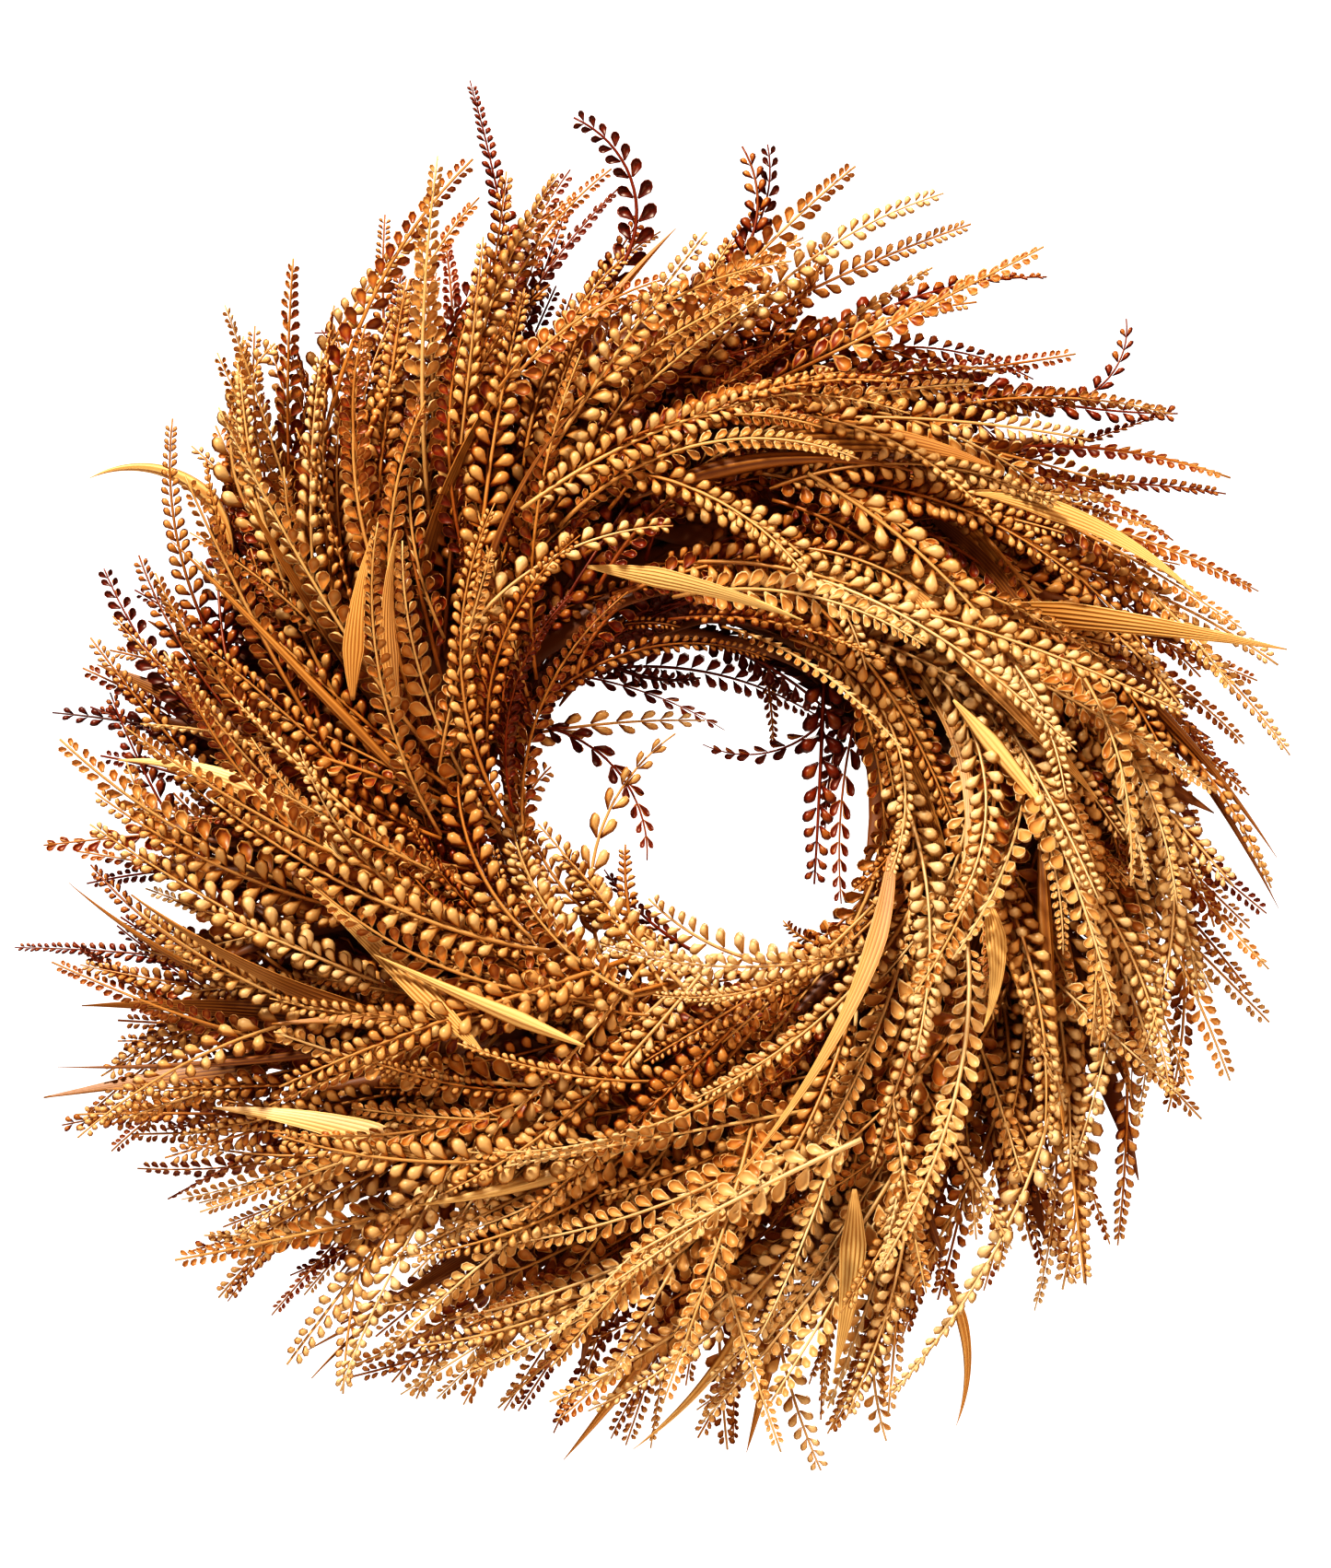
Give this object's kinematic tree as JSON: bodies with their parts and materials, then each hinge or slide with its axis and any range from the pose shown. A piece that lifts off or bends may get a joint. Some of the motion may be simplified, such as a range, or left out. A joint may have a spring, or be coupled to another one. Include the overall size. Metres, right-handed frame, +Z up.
{
  "type": "door wreath",
  "caption": "Round harvest door wreath of swirled moulded seed-frond sprays and ribbed grass blades wired on a twisted cane ring, with a hinged wire hanging loop behind the top.",
  "frame": {"origin": "seat of the hanging loop, in the nose of the tie wire behind the top of the cane ring", "axes": "+Z up, +Y into the door, so the wreath's front faces -Y; +X is to the right seen from the front"},
  "size_m": [0.5809, 0.1408, 0.6188],
  "materials": {
    "frond_plastic": "satin moulded plastic, golden tan",
    "grass_plastic": "satin ribbed plastic, pale straw to brown",
    "cane_wood": "raw dry cane",
    "dark_wire": "dark annealed wire"
  },
  "bodies": {
    "wreath": {"back_frond_01": "frond_plastic", "back_frond_02": "frond_plastic", "back_frond_03": "frond_plastic", "back_frond_04": "frond_plastic", "back_frond_05": "frond_plastic", "back_frond_06": "frond_plastic", "front_frond_01": "frond_plastic", "front_frond_03": "frond_plastic", "front_frond_04": "frond_plastic", "front_frond_06": "frond_plastic", "front_frond_07": "frond_plastic", "front_frond_08": "frond_plastic", "front_frond_09": "frond_plastic", "front_frond_11": "frond_plastic", "front_frond_12": "frond_plastic", "front_frond_14": "frond_plastic", "front_frond_15": "frond_plastic", "front_frond_16": "frond_plastic", "front_grass_02": "grass_plastic", "front_grass_05": "grass_plastic", "front_grass_10": "grass_plastic", "front_grass_13": "grass_plastic", "hanging_tie": "dark_wire", "inner_frond_01": "frond_plastic", "inner_frond_02": "frond_plastic", "inner_frond_03": "frond_plastic", "inner_frond_04": "frond_plastic", "inner_frond_05": "frond_plastic", "inner_frond_06": "frond_plastic", "inner_frond_08": "frond_plastic", "inner_frond_09": "frond_plastic", "inner_grass_07": "grass_plastic", "outer_frond_01": "frond_plastic", "outer_frond_02": "frond_plastic", "outer_frond_03": "frond_plastic", "outer_frond_05": "frond_plastic", "outer_frond_06": "frond_plastic", "outer_frond_07": "frond_plastic", "outer_frond_08": "frond_plastic", "outer_frond_09": "frond_plastic", "outer_frond_11": "frond_plastic", "outer_frond_12": "frond_plastic", "outer_frond_13": "frond_plastic", "outer_frond_14": "frond_plastic", "outer_frond_16": "frond_plastic", "outer_frond_17": "frond_plastic", "outer_frond_18": "frond_plastic", "outer_grass_04": "grass_plastic", "outer_grass_10": "grass_plastic", "outer_grass_15": "grass_plastic", "paddle_wire": "dark_wire", "ring_cane_1": "cane_wood", "ring_cane_2": "cane_wood", "ring_cane_3": "cane_wood"},
    "hanger": {"hanging_loop": "dark_wire"}
  },
  "joints": [
    {"name": "hanger_swing", "type": "hinge", "parent": "wreath", "child": "hanger", "pos_m": [0, 0, 0], "axis": [1, 0, 0], "range_deg": [-15, 180]}
  ]
}
